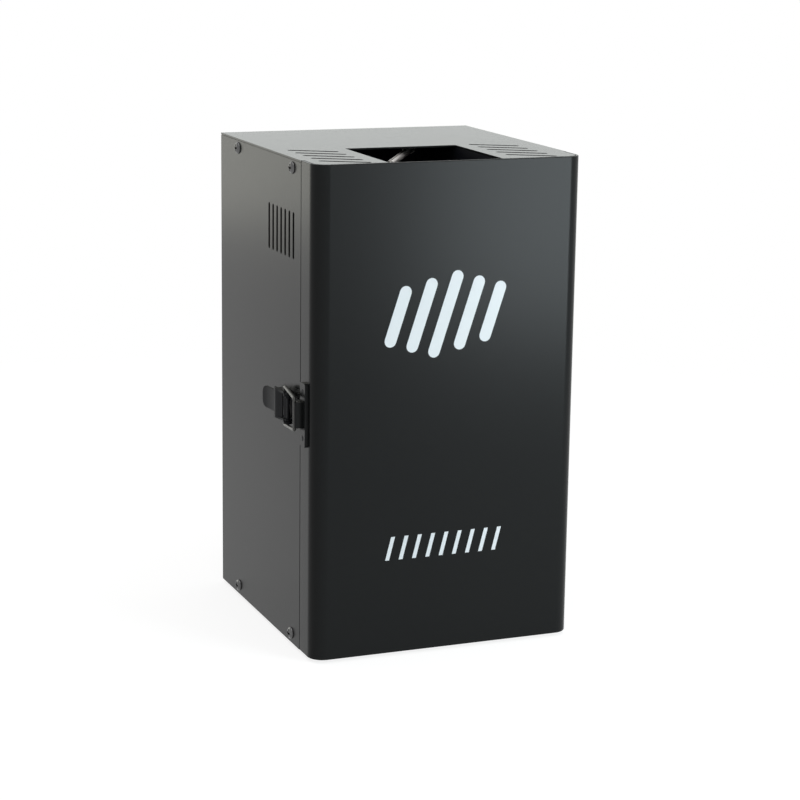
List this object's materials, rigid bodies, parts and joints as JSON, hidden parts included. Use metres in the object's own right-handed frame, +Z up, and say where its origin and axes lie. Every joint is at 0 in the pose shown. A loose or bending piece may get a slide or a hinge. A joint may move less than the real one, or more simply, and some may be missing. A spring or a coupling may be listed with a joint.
{
  "type": "stage flame machine",
  "caption": "Upright steel flame projector with a latched hinged front door, a flame opening in the top, and a gas canister on a screw lift inside.",
  "frame": {"origin": "middle of the whole machine's bounding box, on the plane that the rubber feet stand on", "axes": "+Z up, +X to the right seen from the front, -Y out of the front door"},
  "size_m": [0.248, 0.2642, 0.405],
  "materials": {
    "case_paint": "satin black powder coat",
    "inner_paint": "matt black paint",
    "screw_steel": "zinc plated",
    "foot_rubber": "matt",
    "black_steel": "black plated",
    "bright_steel": "polished",
    "zinc_sheet": "galvanised",
    "brass": "turned",
    "ceramic": "unglazed white",
    "black_plastic": "fine matt grain",
    "red_plastic": "gloss",
    "white_paint": "plain white lacquer",
    "turned_aluminium": "satin",
    "lead_rubber": "silicone",
    "board_plastic": "solder mask",
    "display_glass": "gloss window"
  },
  "bodies": {
    "case": {"base_pan": "inner_paint", "left_side_panel": "case_paint", "right_side_panel": "case_paint", "rear_panel": "case_paint", "top_panel": "case_paint", "left_panel_screw_1": "screw_steel", "left_panel_screw_2": "screw_steel", "left_panel_screw_3": "screw_steel", "left_panel_screw_4": "screw_steel", "right_panel_screw_1": "screw_steel", "right_panel_screw_2": "screw_steel", "right_panel_screw_3": "screw_steel", "right_panel_screw_4": "screw_steel", "front_left_foot": "foot_rubber", "front_right_foot": "foot_rubber", "rear_left_foot": "foot_rubber", "rear_right_foot": "foot_rubber", "hinge_case_leaf": "black_steel", "hinge_pin": "bright_steel", "latch_base": "black_steel", "latch_pin": "bright_steel", "burner_deck": "zinc_sheet", "burner_box": "inner_paint", "gas_riser": "brass", "burner_nozzle": "brass", "spark_electrode": "bright_steel", "spark_insulator": "ceramic", "ground_electrode": "bright_steel", "valve_block": "brass", "valve_coil": "black_plastic", "left_guide_rod": "bright_steel", "right_guide_rod": "bright_steel", "lift_stud": "bright_steel", "partition_panel": "zinc_sheet", "ignition_transformer": "black_plastic", "spark_lead": "lead_rubber", "power_supply": "turned_aluminium", "control_board": "board_plastic", "display_module": "display_glass", "power_inlet": "black_plastic", "power_switch_housing": "black_plastic", "dmx_in_socket": "turned_aluminium", "dmx_out_socket": "turned_aluminium", "arming_lock": "bright_steel"},
    "door": {"front_door": "case_paint", "hinge_door_leaf": "black_steel", "door_keeper": "black_steel"},
    "lever": {"latch_lever": "black_steel"},
    "bail": {"latch_bail": "bright_steel"},
    "seat": {"canister_seat": "zinc_sheet", "gas_canister": "white_paint"},
    "wheel": {"lift_wheel": "turned_aluminium"},
    "button_1": {"menu_button_1": "black_plastic"},
    "button_2": {"menu_button_2": "black_plastic"},
    "button_3": {"menu_button_3": "black_plastic"},
    "button_4": {"menu_button_4": "black_plastic"},
    "rocker": {"power_switch_rocker": "red_plastic"},
    "key": {"lock_plug": "bright_steel", "arming_key": "bright_steel"}
  },
  "joints": [
    {"name": "door_hinge", "type": "hinge", "parent": "case", "child": "door", "pos_m": [0.12085, -0.09985, 0.2], "axis": [0, 0, 1], "range_deg": [0, 180]},
    {"name": "lever_pivot", "type": "hinge", "parent": "case", "child": "lever", "pos_m": [-0.11865, -0.08815, 0.204], "axis": [0, 0, 1], "range_deg": [0, 95]},
    {"name": "bail_pivot", "type": "hinge", "parent": "lever", "child": "bail", "pos_m": [-0.11765, -0.07615, 0.204], "axis": [0, 0, 1], "range_deg": [-96, 0]},
    {"name": "seat_slide", "type": "slide", "parent": "case", "child": "seat", "axis": [0, 0, -1], "range_m": [0, 0.012]},
    {"name": "wheel_turn", "type": "hinge", "parent": "seat", "child": "wheel", "pos_m": [-0.00215, -0.08135, 0.05], "axis": [0, 0, -1], "range_deg": [0, 1081]},
    {"name": "button_1_press", "type": "slide", "parent": "case", "child": "button_1", "axis": [0, -1, 0], "range_m": [0, 0.0008], "stiffness_N_per_m": 800},
    {"name": "button_2_press", "type": "slide", "parent": "case", "child": "button_2", "axis": [0, -1, 0], "range_m": [0, 0.0008], "stiffness_N_per_m": 800},
    {"name": "button_3_press", "type": "slide", "parent": "case", "child": "button_3", "axis": [0, -1, 0], "range_m": [0, 0.0008], "stiffness_N_per_m": 800},
    {"name": "button_4_press", "type": "slide", "parent": "case", "child": "button_4", "axis": [0, -1, 0], "range_m": [0, 0.0008], "stiffness_N_per_m": 800},
    {"name": "rocker_tip", "type": "hinge", "parent": "case", "child": "rocker", "pos_m": [-0.06965, 0.10385, 0.091], "axis": [1, 0, 0], "range_deg": [0, 20]},
    {"name": "key_turn", "type": "hinge", "parent": "case", "child": "key", "pos_m": [0.07635, 0.11, 0.343], "axis": [0, -1, 0], "range_deg": [0, 90]}
  ],
  "couplings": [
    {"joint": "bail_pivot", "follows": "lever_pivot", "ratio": -1},
    {"joint": "wheel_turn", "follows": "seat_slide", "rad_per_m": 1570.8}
  ]
}
